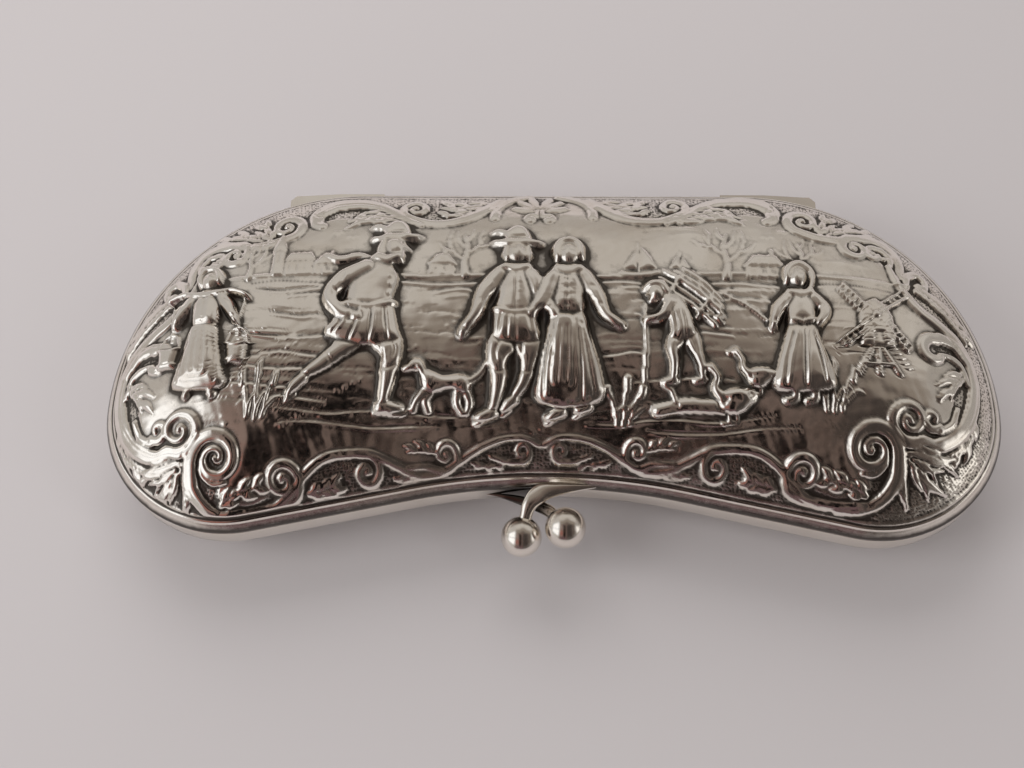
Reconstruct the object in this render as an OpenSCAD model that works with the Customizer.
// Kidney-shaped silver glasses case: two domed shells on frame bands, a seven-knuckle
// tube hinge along the back, and a crossed-arm ball clasp in the hollow of the front.
// The case stands on the flat underside of its base. +X runs along its length, -Y is the
// front, where the clasp is, and Z = 0 is the plane it stands on.

/* [Outline] */
// Length of the case, end to end
case_length = 150; // [136:1:164]
// Radius of the two back shoulders
shoulder_radius = 42; // [38:0.5:48]
// Radius of the two front lobes
lobe_radius = 21.5; // [19:0.5:25]
// Slope of the front edge between a lobe and the hollow, in degrees
front_slope = 12; // [9:0.5:14]
// Radius of the hollow in the middle of the front edge
hollow_radius = 109; // [80:1:125]

/* [Shells] */
// Height of the parting plane above the underside
base_depth = 14; // [12:0.5:18]
// Height of the lid above the parting plane
lid_height = 14; // [12:0.5:18]
// Thickness of the sheet silver of both shells
sheet = 0.6; // [0.5:0.05:0.9]
// Width of the plain sloping margin round the lid, measured inwards
margin_width = 1.75; // [1.5:0.05:2.2]
// Height of that margin
margin_rise = 2.3; // [2:0.1:2.8]
// Roundness of the lid's dome: higher is flatter on top
lid_crown = 2.2; // [2:0.1:2.8]
// Share of the base's half width that the flat underside takes
flat_share = 0.42; // [0.3:0.01:0.5]

/* [Chased relief] */
// Height of the figures in the lid's picture above the dome
figure_height = 1.6; // [1:0.1:1.8]
// Height of the border's scrolls above the dome
scroll_height = 0.6; // [0.3:0.05:0.8]

/* [Frame bands] */
// Width of both frame bands, from the outer face inwards
band_width = 2; // [1.9:0.05:2.4]
// Height of the base's band
base_band_height = 5; // [4:0.25:6.5]
// Height of the lid band's upright face
lid_band_face = 0.6; // [0.4:0.05:0.9]
// Height of the lid band where the shell sits on it
lid_band_height = 1.8; // [1.7:0.05:2.1]
// Softening of the bands' edges
band_edge = 0.2; // [0.1:0.05:0.3]
// Gap between the two bands when the case is shut
parting_gap = 0.2; // [0.1:0.05:0.3]

/* [Hinge] */
// Length of the row of knuckles
hinge_length = 92; // [84:1:98]
// Number of knuckles, an odd number
knuckle_count = 7; // [7:7]
// Outer radius of the knuckle tube
knuckle_radius = 0.85; // [0.8:0.05:0.9]
// Radius of the hinge pin
pin_radius = 0.45; // [0.35:0.05:0.5]
// Running clearance between the pin and the bores of the lid's knuckles
pin_clearance = 0.05; // [0.03:0.01:0.08]
// End gap between neighbouring knuckles
knuckle_gap = 0.3; // [0.2:0.05:0.4]
// Clearance round a knuckle in the other half's groove
groove_clearance = 0.3; // [0.3:0.05:0.35]
// Distance of the hinge axis in front of the back face of the bands
axis_inset = 0.7; // [0.65:0.05:0.75]
// Angle between the two halves' bevels behind the axis, which meet and stop the lid
stop_angle = 119; // [110:1:130]
// Distance of a bearer's inner end from the middle of the case
bearer_start = 30; // [26:1:33]
// Distance of the bearers' back faces in front of the bands'
bearer_inset = 0.15; // [0.1:0.05:0.25]
// Height of the lid's bearers above the parting plane
lid_bearer_height = 1.4; // [1.3:0.05:1.5]
// Depth of the base's bearers below the parting plane
base_bearer_depth = 2.2; // [1.9:0.1:2.6]
// Thickness of the peened heads of the pin
pin_head = 0.35; // [0.25:0.05:0.5]

/* [Clasp] */
// Radius of the two clasp balls
ball_radius = 3.35; // [3:0.05:3.5]
// Gap between the balls, seen from above
ball_gap = 0.5; // [0.3:0.05:1]
// Mean distance of the balls' centres in front of the bands
ball_reach = 7.3; // [7:0.1:8]
// How much further the lid's ball reaches than the mean, and the base's less
ball_stagger = 0.5; // [0.3:0.05:0.6]
// Depth of the balls' mean centre below the parting plane
ball_drop = 0.8; // [0.5:0.1:1]
// Sideways place of the clasp from the middle of the case
clasp_x = -0.8; // [-1.5:0.1:1.5]
// Distance of an arm's root from the clasp's middle, along the band
arm_root = 9; // [8:0.5:10]
// Half width of an arm at its strongest place
arm_half_width = 0.85; // [0.7:0.05:0.9]
// Half thickness of an arm at its strongest place
arm_half_thickness = 0.6; // [0.5:0.05:0.65]

/* [Lining] */
// Thickness of the velvet lining
lining = 1.1; // [0.8:0.1:1.5]
// Gap between the lining and the metal
lining_gap = 0.3; // [0.25:0.05:0.4]

/* [Hidden] */

silver = [0.80, 0.78, 0.74];
bright_silver = [0.88, 0.87, 0.84];
velvet = [0.32, 0.05, 0.10];

// Places that several pieces share
back_y = (shoulder_radius + lobe_radius) / 2;
arc_y = back_y - shoulder_radius;
axis_y = back_y - axis_inset;
axis_z = base_depth;
shoulder_x = case_length / 2 - shoulder_radius;
lobe_x = case_length / 2 - lobe_radius;
front_run = (lobe_x - (lobe_radius + hollow_radius) * sin(front_slope)) / cos(front_slope);
hollow_y = arc_y - (lobe_radius + hollow_radius) * cos(front_slope)
    + front_run * sin(front_slope);
front_y = hollow_y + hollow_radius;

// The spine that the rings of a dome close on: a shallow bow between the two lobes
spine_half = 46 / 150 * case_length;
spine_mid_y = (back_y + front_y) / 2;
spine_end_y = arc_y + 6.5;

// Segments of each stretch of half the outline, from the back's middle to the front's:
// back, shoulder, lobe, front and hollow
metal_steps = [3, 12, 14, 4, 4];
cloth_steps = [2, 6, 7, 2, 4];

// Columns of the chased lid in each quarter: evenly spaced, then round the lobe
chased_columns = 24;
chased_lobe_columns = 14;

// Rings of a dome, as shares of the way from its edge to the spine. The chased lid's are
// evenly spaced up to the last.
chased_rings = 15;
chased_share_end = 0.93;
lid_shares = [0, 0.10, 0.28, 0.54, 0.86];
base_shares = [0, 0.05, 0.13, 0.24, 0.38, 0.54, 0.72, 1];
base_lining_shares = [0, 0.24, 0.54, 1];
seat_gap = 0.01;
arm_room = 0.3;

// Points of half the outline, set inwards by inset: straight back, shoulder arc, lobe
// arc, straight front and hollow, each tangent to the next
function half_outline(inset, steps) = concat(
    [for (i = [0:steps[0] - 1]) [shoulder_x * i / steps[0], back_y - inset]],
    [for (i = [0:steps[1] - 1]) let (a = 90 - 90 * i / steps[1])
        [shoulder_x + (shoulder_radius - inset) * cos(a),
         arc_y + (shoulder_radius - inset) * sin(a)]],
    [for (i = [0:steps[2]]) let (a = -(90 + front_slope) * i / steps[2])
        [lobe_x + (lobe_radius - inset) * cos(a),
         arc_y + (lobe_radius - inset) * sin(a)]],
    [for (i = [1:steps[3] - 1]) let (s = front_run * i / steps[3])
        [lobe_x - (lobe_radius - inset) * sin(front_slope) - s * cos(front_slope),
         arc_y - (lobe_radius - inset) * cos(front_slope) + s * sin(front_slope)]],
    [for (i = [0:steps[4]]) let (a = front_slope * (1 - i / steps[4]))
        [(hollow_radius + inset) * sin(a), hollow_y + (hollow_radius + inset) * cos(a)]]
);

// The closed outline, clockwise from the back's middle
function outline(inset, steps = metal_steps) = let (half = half_outline(inset, steps),
    n = len(half)) concat(half, [for (i = [n - 2:-1:1]) [-half[i].x, half[i].y]]);

// The spine point that an outline point closes on
function spine(p) = let (u = p.x / (case_length / 2), x = spine_half * sin(90 * u))
    [x, spine_mid_y + (spine_end_y - spine_mid_y) * pow(x / spine_half, 2)];

// One ring: the outline at an inset, drawn towards the spine by a share, at height z
function drawn_in(points, share, z) = [for (p = points)
    let (c = spine(p)) [p.x + (c.x - p.x) * share, p.y + (c.y - p.y) * share, z]];
function ring(inset, share, z, steps = metal_steps) =
    drawn_in(outline(inset, steps), share, z);

ring_size = len(outline(0));

// Rise of a dome from 0 at its edge to 1 at its last ring
function crown(share, power, bend) = pow(1 - pow(1 - share, power), bend);
function lid_rise(share) = crown(share, lid_crown, 0.85)
    / crown(chased_share_end, lid_crown, 0.85);
function base_rise(share) = crown(share, 2.6, 0.8);

// Skin of a stack of rings, all with the same number of points
function skin(rings, size) = [for (j = [0:rings - 2], i = [0:size - 1], half = [0, 1])
    let (k = (i + 1) % size, a = j * size + i, b = j * size + k, c = a + size, d = b + size)
    half == 0 ? [a, b, d] : [a, d, c]];

// A domed dish: outer rings from the edge to the top, then inner rings back to the edge.
// A flat top gets one cap; a chased one gets a strip between its back and its front.
module dish(outer, inner, strip = false) {
    size = len(outer[0]);
    rows = concat(outer, [for (i = [len(inner) - 1:-1:0]) inner[i]]);
    n = len(rows);
    outer_top = (len(outer) - 1) * size;
    inner_top = len(outer) * size;
    wall = skin(n, size);
    // the strip that would join the two tops is left out, and each top gets its own cap
    kept = [for (f = wall) if (!(min(f) >= outer_top && max(f) < inner_top + size)) f];
    foot = [for (i = [0:size - 1], half = [0, 1])
        let (k = (i + 1) % size, a = (n - 1) * size + i, b = (n - 1) * size + k)
        half == 0 ? [a, b, k] : [a, k, i]];
    half = size / 2;
    top = !strip ? [[for (i = [0:size - 1]) outer_top + i]]
        : [for (start = [0, half], i = [0:half / 2 - 1], second = [0, 1])
            let (a = outer_top + start + i, b = a + 1, c = outer_top + start + half - i - 1,
                d = outer_top + (start + half - i) % size)
            if (second == 0 || c > b) second == 0 ? [a, b, d] : [b, c, d]];
    polyhedron([for (r = rows) for (p = r) p], concat(kept, foot, top,
        [[for (i = [size - 1:-1:0]) inner_top + i]]));
}

// A solid through a stack of rings, capped at both ends
module loft(rows) {
    size = len(rows[0]);
    last = (len(rows) - 1) * size;
    polyhedron([for (r = rows) for (p = r) p], concat(skin(len(rows), size),
        [[for (i = [size - 1:-1:0]) i]], [[for (i = [0:size - 1]) last + i]]));
}

// A band swept round the outline: profile holds [inset, z] points, clockwise seen with
// the outside of the case on the left
module band(profile) {
    size = ring_size;
    n = len(profile);
    polyhedron([for (q = profile) for (p = ring(q[0], 0, q[1])) p],
        [for (j = [0:n - 1], i = [0:size - 1], half = [0, 1])
            let (k = (i + 1) % size, m = (j + 1) % n)
            half == 0 ? [j * size + i, j * size + k, m * size + k]
                      : [j * size + i, m * size + k, m * size + i]]);
}

// The chased lid's rings: at every column the back and the front have a point at the same
// x, so that a strip along the spine can close the last ring
lobe_end_x = lobe_x - lobe_radius * sin(front_slope);
column_x = concat([for (i = [0:chased_columns - 1]) lobe_end_x * i / chased_columns],
    [for (i = [chased_lobe_columns:-1:0])
        let (a = -(90 + front_slope) * i / chased_lobe_columns)
        lobe_x + lobe_radius * cos(a)]);
columns = len(column_x) - 1;
hollow_end = hollow_radius * [sin(front_slope), cos(front_slope)] + [0, hollow_y];
function back_point(x, inset) = x < shoulder_x ? [x, back_y - inset]
    : let (a = acos(min(1, (x - shoulder_x) / shoulder_radius)))
        [shoulder_x, arc_y] + (shoulder_radius - inset) * [cos(a), sin(a)];
function front_point(x, inset) = x < hollow_end.x
    ? let (a = asin(x / hollow_radius))
        [0, hollow_y] + (hollow_radius + inset) * [sin(a), cos(a)]
    : x < lobe_end_x
    ? [x, hollow_end.y - (x - hollow_end.x) * tan(front_slope)]
        + inset * [sin(front_slope), cos(front_slope)]
    : let (a = -acos(min(1, (x - lobe_x) / lobe_radius)))
        [lobe_x, arc_y] + (lobe_radius - inset) * [cos(a), sin(a)];
function chased_outline(inset) = concat(
    [for (i = [0:columns]) back_point(column_x[i], inset)],
    [for (i = [columns - 1:-1:0]) front_point(column_x[i], inset)],
    [for (i = [1:columns]) let (p = front_point(column_x[i], inset)) [-p.x, p.y]],
    [for (i = [columns - 1:-1:1]) let (p = back_point(column_x[i], inset)) [-p.x, p.y]]);

// The relief is made of limbs: [from, to, half width at from, half width at to, share of
// the full height]. A figure's limbs are in its own millimetres, up from its feet.
skating_man = [
    [[0, 13], [0.6, 24], 5.2, 4.4, 1],
    [[1, 14], [3.9, 9.6], 3.2, 2.6, 0.8],
    [[3.9, 9.6], [2.9, 1.6], 2.6, 1.5, 0.75],
    [[-1, 14], [-9.8, 5.4], 3, 1.5, 0.65],
    [[-0.8, 24.4], [-6, 19], 2, 2, 1],
    [[-6, 19], [-2, 15.4], 2, 1.5, 1],
    [[3.6, 28.4], [3.8, 32.4], 2.8, 2.6, 1],
    [[0, 31], [7.6, 31], 1.2, 1.2, 0.9]];
skating_pair = [
    [[-4.4, 14], [-4.4, 24], 4.4, 4.2, 1],
    [[-5.4, 13], [-7.4, 2.4], 3, 1.6, 0.8],
    [[-3, 13], [-4.3, 3.6], 2.6, 1.4, 0.7],
    [[-7, 24], [-12.6, 14.4], 1.9, 1.3, 0.9],
    [[-4.3, 28], [-4.3, 32.4], 2.8, 2.6, 1],
    [[-8, 30.8], [-0.6, 30.6], 1.2, 1.2, 0.9],
    [[4.2, 24], [4.2, 17], 3.8, 3, 1],
    [[4.2, 17], [4.6, 5.4], 3.4, 6, 1.05],
    [[7, 24], [12.4, 15.4], 1.8, 1.2, 0.9],
    [[4.3, 28], [4.3, 29], 3, 3, 1]];
woman_with_yoke = [
    [[0, 21.6], [0, 16], 3.6, 3, 1],
    [[0, 16], [0, 4], 3, 5.4, 1],
    [[-3, 21], [-6.2, 15.8], 1.6, 1.2, 0.8],
    [[3, 21], [6.2, 15.8], 1.6, 1.2, 0.8],
    [[-8, 21.4], [8, 21.4], 0.9, 0.9, 0.9],
    [[-7, 10], [-7, 7.6], 2.4, 2, 0.7],
    [[7, 10], [7, 7.6], 2.4, 2, 0.7],
    [[0, 25.4], [0, 26.4], 2.9, 2.9, 1]];
stick_gatherer = [
    [[0.4, 11.4], [2.4, 18.4], 3.6, 3, 0.95],
    [[-1.4, 11], [-4.4, 1.6], 2.2, 1.3, 0.6],
    [[0.6, 11], [2.2, 1.2], 2.4, 1.4, 0.7],
    [[-7.6, 15.8], [3, 25], 3.2, 3, 0.8],
    [[5.8, 20.6], [6, 21.2], 2.7, 2.7, 0.95],
    [[2.4, 17.6], [7.6, 14], 1.4, 1.1, 0.9]];
goose_girl = [
    [[0, 18], [0, 13.4], 3.2, 2.6, 1],
    [[0, 13.4], [0.1, 4], 2.8, 5, 1],
    [[-2, 18], [-4.6, 13], 1.5, 1.1, 0.9],
    [[2.2, 18], [3.6, 14.4], 1.5, 1.2, 0.9],
    [[0, 21.8], [0, 22.6], 2.8, 2.8, 1]];
goose = [
    [[-2.6, 4], [2, 3.8], 1.7, 2.1, 0.75],
    [[2.6, 4.6], [4, 9], 1.2, 1, 0.65]];
dog = [
    [[-3, 5], [3.6, 5.4], 1.7, 1.9, 0.75],
    [[5, 7.4], [6.4, 7], 1.5, 0.9, 0.75]];
post_mill = [
    [[0.2, 6], [0.2, 12.4], 3.8, 3, 0.6],
    [[-6.4, 5.8], [6.8, 16.2], 1.5, 1.5, 0.5],
    [[-5, 17.6], [5.4, 4.4], 1.5, 1.5, 0.5]];

// Half of the scroll border, in the lid's plan: the stems as limbs, and the volutes as
// [centre, radius]
border_stems = [
    [[6.6, 27], [11.2, 22.8], 1.6, 1.5], [[11.2, 22.8], [18.2, 21.4], 1.5, 1.2],
    [[22.6, 22.6], [28.2, 27], 1.4, 1.6], [[28.2, 27], [36, 27.2], 1.7, 2.1],
    [[36.4, 27], [37.4, 23], 2, 1.4], [[24.4, 22.8], [32, 23], 1.6, 1.6],
    [[44.8, 18.6], [54.6, 20.6], 1.5, 2.2], [[54.5, 19.4], [58.4, 16], 1.5, 1.4],
    [[58.6, 15], [57.4, 10.6], 1.3, 1.3], [[57.4, 10.6], [61, 4.6], 1.4, 1.4],
    [[61, 4.6], [66.8, 0], 1.4, 1.6], [[66.8, 0], [69, -8], 1.6, 1.8],
    [[69, -8], [66, -16], 1.8, 1.6], [[66, -16], [60.5, -19], 1.6, 1.5],
    [[57.4, -21], [63, -24.6], 2.2, 1.6], [[57, -21], [57.4, -26], 2, 1.4],
    [[55.4, -21.2], [52.8, -27], 1.5, 1.5], [[52.8, -27], [42.4, -26.8], 1.5, 1.1],
    [[42.4, -26.8], [36.6, -21.9], 1.1, 1.1], [[36.6, -21.9], [29.8, -19.3], 1.1, 1],
    [[29.8, -19.3], [22.6, -20.7], 1, 1], [[22.6, -20.7], [15.2, -21.7], 1, 1],
    [[15.2, -21.7], [8.4, -18.3], 1, 0.9], [[8.4, -18.3], [-1, -17.4], 0.9, 0.9]];
border_volutes = [[[20.9, 25.6], 2.6], [[43.1, 22.4], 3.4], [[51.4, 16.7], 2.9], [[62.4, -2.9], 2.6],
    [[57.3, -15.2], 3.8], [[51.2, -19.9], 4.1], [[40.6, -23.1], 3.2], [[27, -21.8], 2.7],
    [[14.3, -19.2], 2.5]];
border_middle = -1.2;
border_lean = 0.04;
border_scroll = concat([for (m = border_stems) concat(m, [1])],
    [for (v = border_volutes) [v[0], v[0], v[1], v[1], 1]]);
rosette = [[[-1.9, 21.4], [-1.9, 23], 3.4, 3.4, 1], [[-1.9, 24.6], [-1.9, 27.4], 4.2, 4, 1]];

// Limbs set down in the plan: a figure at its place, and the border's left half turned over
function placed(limbs, at, size, turn = 1) = [for (m = limbs)
    [at + size * [turn * m[0].x, m[0].y], at + size * [turn * m[1].x, m[1].y],
     size * m[2], size * m[3], m[4]]];
function turned_point(p) = [2 * border_middle - p.x, p.y - border_lean * p.x];
function turned_over(limbs) = [for (m = limbs)
    [turned_point(m[0]), turned_point(m[1]), m[2], m[3], m[4]]];

figures = concat(
    placed(woman_with_yoke, [-56.6, -12.8], 0.84),
    placed(skating_man, [-29.6, -14.6], 1),
    placed(dog, [-16.6, -14.4], 0.98, -1),
    placed(skating_pair, [-1.2, -15.2], 0.99),
    placed(stick_gatherer, [21.4, -9.6], 0.74, -1),
    placed(goose, [29.6, -15.6], 0.92, -1),
    placed(goose, [33.4, -11.4], 0.74, -1),
    placed(goose_girl, [40.6, -12.8], 0.98),
    placed(post_mill, [52.6, -8], 0.92));
scrolls = concat(border_scroll, turned_over(border_scroll), rosette);

// Rise of one limb at a point of the plan, and the highest of many
limb_edge = 0.9;
function limb_rise(p, m) = let (way = m[1] - m[0],
    t = norm(way) > 0 ? max(0, min(1, (p - m[0]) * way / (way * way))) : 0,
    wide = m[2] + (m[3] - m[2]) * t + limb_edge,
    off = norm(p - m[0] - t * way) / wide) off < 1 ? m[4] * pow(1 - off * off, 0.8) : 0;
function highest_rise(p, limbs) = max([for (m = limbs) limb_rise(p, m)]);

// The relief is drawn for a case this long and wide, and stretches with it
drawn_length = 150;
drawn_width = 55.04;
drawn_middle = 4.23;
function drawn_place(p) = [p.x * drawn_length / case_length,
    drawn_middle + (p.y - spine_mid_y) * drawn_width / (back_y - front_y)];
function relief(p) = let (q = drawn_place(p))
    max(figure_height * highest_rise(q, figures), scroll_height * highest_rise(q, scrolls));
function chased(points) = [for (p = points) [p.x, p.y, p.z + relief([p.x, p.y])]];

// Rings of the lid's dome. Outside, each follows the foot on the band and the sloping
// margin, and is lifted by the relief; inside, they are plain.
function lid_ring(share, deeper) = drawn_in(chased_outline(margin_inset + deeper), share,
    margin_top_z + (base_depth + lid_height - margin_top_z) * lid_rise(share) - deeper);
function lid_outside() = concat(
    [drawn_in(chased_outline(lid_foot_inset), 0, lid_foot_z), lid_ring(0, 0)],
    [for (i = [1:chased_rings]) chased(lid_ring(chased_share_end * i / chased_rings, 0))]);
function lid_inside() = concat(
    [drawn_in(chased_outline(lid_foot_inset + sheet), 0, lid_foot_z)],
    [for (s = lid_shares) lid_ring(s, sheet)]);

lid_slope = margin_rise / margin_width;
lid_edge_z = base_depth + parting_gap / 2 + lid_band_face;
lid_foot_z = base_depth + parting_gap / 2 + lid_band_height;
lid_foot_inset = (lid_foot_z - lid_edge_z) / lid_slope;
margin_inset = margin_width;
margin_top_z = lid_edge_z + margin_rise;

module lid_shell() {
    color(silver) dish(lid_outside(), lid_inside(), strip = true);
}

module lid_rim() {
    low = base_depth + parting_gap / 2;
    color(bright_silver) difference() {
        band([[band_edge / 2, low], [0, low + band_edge / 2], [0, lid_edge_z],
            [lid_foot_inset, lid_foot_z], [band_width, lid_foot_z], [band_width, low]]);
        hinge_grooves(1);
    }
}

// Rings of the base's dome, from the foot of the band down to the flat underside
base_foot_z = base_depth - parting_gap / 2 - base_band_height;
base_foot_inset = band_edge * 2;
function base_rings(deeper) = [for (s = base_shares)
    ring(base_foot_inset + deeper, s * (1 - flat_share),
        base_foot_z - (base_foot_z - deeper) * base_rise(s))];

// The base's dish opens upwards, so its inner rings come first
module base_shell() {
    color(silver) dish(base_rings(sheet), base_rings(0));
}

module base_rim() {
    high = base_depth - parting_gap / 2;
    color(bright_silver) difference() {
        band([[base_foot_inset, base_foot_z], [band_edge / 2, base_foot_z + band_edge / 2],
            [0, base_foot_z + 2 * band_edge], [0, high - band_edge / 2],
            [band_edge / 2, high], [band_width, high], [band_width, base_foot_z]]);
        hinge_grooves(0);
    }
}

// Knuckles are counted from 0 at the left: even ones belong to the base, odd ones to the lid
knuckle_pitch = (hinge_length + knuckle_gap) / knuckle_count;
groove_radius = knuckle_radius + groove_clearance;
function knuckle_x(i) = -hinge_length / 2 + i * knuckle_pitch;

module along_axis(x, length, radius) {
    translate([x, axis_y, axis_z]) rotate([0, 90, 0])
        cylinder(h = length, r = radius, $fn = 48);
}

// Grooves in one half: a seat for its own knuckles (own 0 for the base's, 1 for the
// lid's), clearance for the other half's, and room past both ends. Behind the axis both
// halves are bevelled, so that the lid can turn back until the bevels meet.
module hinge_grooves(own) {
    bevel_run = 5;
    bevel_rise = bevel_run * tan(stop_angle / 2);
    translate([-bearer_half - 1, axis_y, axis_z]) rotate([90, 0, 90])
        linear_extrude(2 * (bearer_half + 1))
            polygon([[0, 0], [bevel_run, bevel_rise], [bevel_run, -bevel_rise]]);
    for (i = [0:knuckle_count - 1])
        along_axis(knuckle_x(i) - (i % 2 == own ? 0 : knuckle_gap),
            knuckle_pitch + (i % 2 == own ? -knuckle_gap : knuckle_gap),
            i % 2 == own ? knuckle_radius + seat_gap : groove_radius);
    for (side = [-1, 1])
        along_axis(side > 0 ? hinge_length / 2 : -hinge_length, hinge_length / 2,
            groove_radius);
}

// The hinge runs straight on where the outline has begun to curve away. Bearers fill the
// corners there: seen from above, each tapers towards its shoulder.
bearer_half = hinge_length / 2 + 0.8;
bearer_taper = 9;
bearer_back_y = back_y - bearer_inset;
module bearer_plan() {
    near = back_y - 5;
    for (side = [0, 1]) mirror([side, 0]) polygon([[bearer_start, near],
        [bearer_start, bearer_back_y], [bearer_half - bearer_taper, bearer_back_y],
        [bearer_half - 1, bearer_back_y - 0.5], [bearer_half, bearer_back_y - 1.4],
        [bearer_half, near]]);
}

module lid_hinge_bearer() {
    low = base_depth + parting_gap / 2;
    high = base_depth + lid_bearer_height;
    color(bright_silver) difference() {
        translate([0, 0, low]) linear_extrude(high - low) bearer_plan();
        // the closed lid's edge and margin, whose caps are drawn towards the spine
        loft([ring(0, 0.5, low - 1), ring(0, 0, low - 1), ring(0, 0, lid_edge_z),
            ring(margin_inset, 0, margin_top_z), ring(margin_inset, 0.5, margin_top_z)]);
        hinge_grooves(1);
    }
}

module base_hinge_bearer() {
    high = base_depth - parting_gap / 2;
    low = base_depth - base_bearer_depth;
    slope_run = 3.5;
    color(bright_silver) difference() {
        intersection() {
            translate([0, 0, base_foot_z]) linear_extrude(high - base_foot_z) bearer_plan();
            rotate([90, 0, 90]) linear_extrude(case_length, center = true) polygon([
                [bearer_back_y + 1, high], [bearer_back_y + 1, low + 1],
                [bearer_back_y, low], [bearer_back_y - slope_run,
                low - slope_run], [axis_y - 8, low - slope_run], [axis_y - 8, high]]);
        }
        translate([0, 0, base_foot_z - 1]) linear_extrude(base_band_height + 2)
            polygon(outline(0));
        hinge_grooves(0);
    }
}

module knuckle(i) {
    bore = pin_radius + (i % 2 == 1 ? pin_clearance : 0);
    color(bright_silver) difference() {
        along_axis(knuckle_x(i), knuckle_pitch - knuckle_gap, knuckle_radius);
        along_axis(knuckle_x(i) - 1, knuckle_pitch + 2, bore);
    }
}

module hinge_pin() {
    head_radius = (knuckle_radius + pin_radius) / 2;
    half = hinge_length / 2;
    color(silver) union() {
        along_axis(-half, 2 * half, pin_radius);
        along_axis(-half - pin_head, pin_head, head_radius);
        along_axis(half, pin_head, head_radius);
    }
}

// Centre of a clasp ball: side is -1 for the lid's ball, on the left and lower, and 1
// for the base's, on the right and higher
function ball_centre(side) = [clasp_x + side * (ball_radius + ball_gap / 2),
    front_y - ball_reach + side * ball_stagger, base_depth - ball_drop + side];

module clasp_ball(side) {
    color(bright_silver) translate(ball_centre(side)) sphere(r = ball_radius, $fn = 64);
}

// An arm is a flat horn swept along a cubic curve, from its root on the band, across the
// middle and out to its ball. The lid's arm crosses above the base's.
arm_steps = 18;
arm_sides = 12;
arm_tip = 0.2;
function cubic(p, t) = pow(1 - t, 3) * p[0] + 3 * pow(1 - t, 2) * t * p[1]
    + 3 * (1 - t) * t * t * p[2] + pow(t, 3) * p[3];
function cubic_way(p, t) = let (d = pow(1 - t, 2) * (p[1] - p[0])
    + 2 * (1 - t) * t * (p[2] - p[1]) + t * t * (p[3] - p[2])) d / norm(d);
function arm_swell(t) = t < 0.4 ? arm_tip + (1 - arm_tip) * sin(90 * t / 0.4) : 1;
function arm_path(side) = let (z = base_depth + (side < 0 ? 0.45 : -2.5)) [
    [clasp_x - side * arm_root, front_y + 0.2, z],
    [clasp_x - side * arm_root * 0.3, front_y - 1, z],
    [clasp_x + side * ball_radius, front_y - 2.1, z + (side < 0 ? 0 : 0.4)],
    ball_centre(side)];

module clasp_arm(side) {
    path = arm_path(side);
    reach = 6;
    color(bright_silver) difference() {
        loft([for (j = [0:arm_steps]) let (t = j / arm_steps, c = cubic(path, t),
            w = cubic_way(path, t), u = cross(w, [0, 0, 1]), out = u / norm(u),
            up = cross(out, w)) [for (i = [0:arm_sides - 1]) let (a = -360 * i / arm_sides)
                c + arm_swell(t) * (arm_half_width * cos(a) * out
                    + arm_half_thickness * sin(a) * up)]]);
        translate([0, 0, base_depth - reach]) linear_extrude(2 * reach)
            polygon(outline(0));
        // room for the other half's band, below the lid's arm or above the base's
        translate([0, 0, base_depth - (side < 0 ? reach : 0)]) linear_extrude(reach)
            polygon(outline(-arm_room));
        translate(ball_centre(side)) sphere(r = ball_radius, $fn = 64);
    }
}

// Linings follow the shells on the inside, and end just inside the bands
lining_start = band_width + lining_gap;
lining_edge = parting_gap / 2 + 0.6;
function lid_lining_rings(deeper) = concat(
    [ring(lining_start + deeper, 0, base_depth + lining_edge, cloth_steps)],
    [for (s = lid_shares) ring(margin_inset + sheet + lining_gap + 0.35 + deeper, s,
        margin_top_z - 0.6 + (base_depth + lid_height - margin_top_z + 0.6
        - sheet - lining_gap - deeper) * lid_rise(s), cloth_steps)]);
function base_lining_rings(deeper) = concat(
    [ring(lining_start + deeper, 0, base_depth - lining_edge, cloth_steps)],
    [for (s = base_lining_shares) let (low = sheet + lining_gap + deeper)
        ring(lining_start + deeper, s * (1 - flat_share),
            base_foot_z + 0.6 - (base_foot_z + 0.6 - low) * base_rise(s),
            cloth_steps)]);

module lid_lining() {
    color(velvet) dish(lid_lining_rings(0), lid_lining_rings(lining));
}

module base_lining() {
    color(velvet) dish(base_lining_rings(lining), base_lining_rings(0));
}

lid_shell();
lid_rim();
lid_hinge_bearer();
knuckle(1);  // lid_knuckle_1
knuckle(3);  // lid_knuckle_2
knuckle(5);  // lid_knuckle_3
clasp_arm(-1);  // lid_clasp_arm
clasp_ball(-1);  // lid_clasp_ball
lid_lining();
base_shell();
base_rim();
base_hinge_bearer();
knuckle(0);  // base_knuckle_1
knuckle(2);  // base_knuckle_2
knuckle(4);  // base_knuckle_3
knuckle(6);  // base_knuckle_4
clasp_arm(1);  // base_clasp_arm
clasp_ball(1);  // base_clasp_ball
base_lining();
hinge_pin();
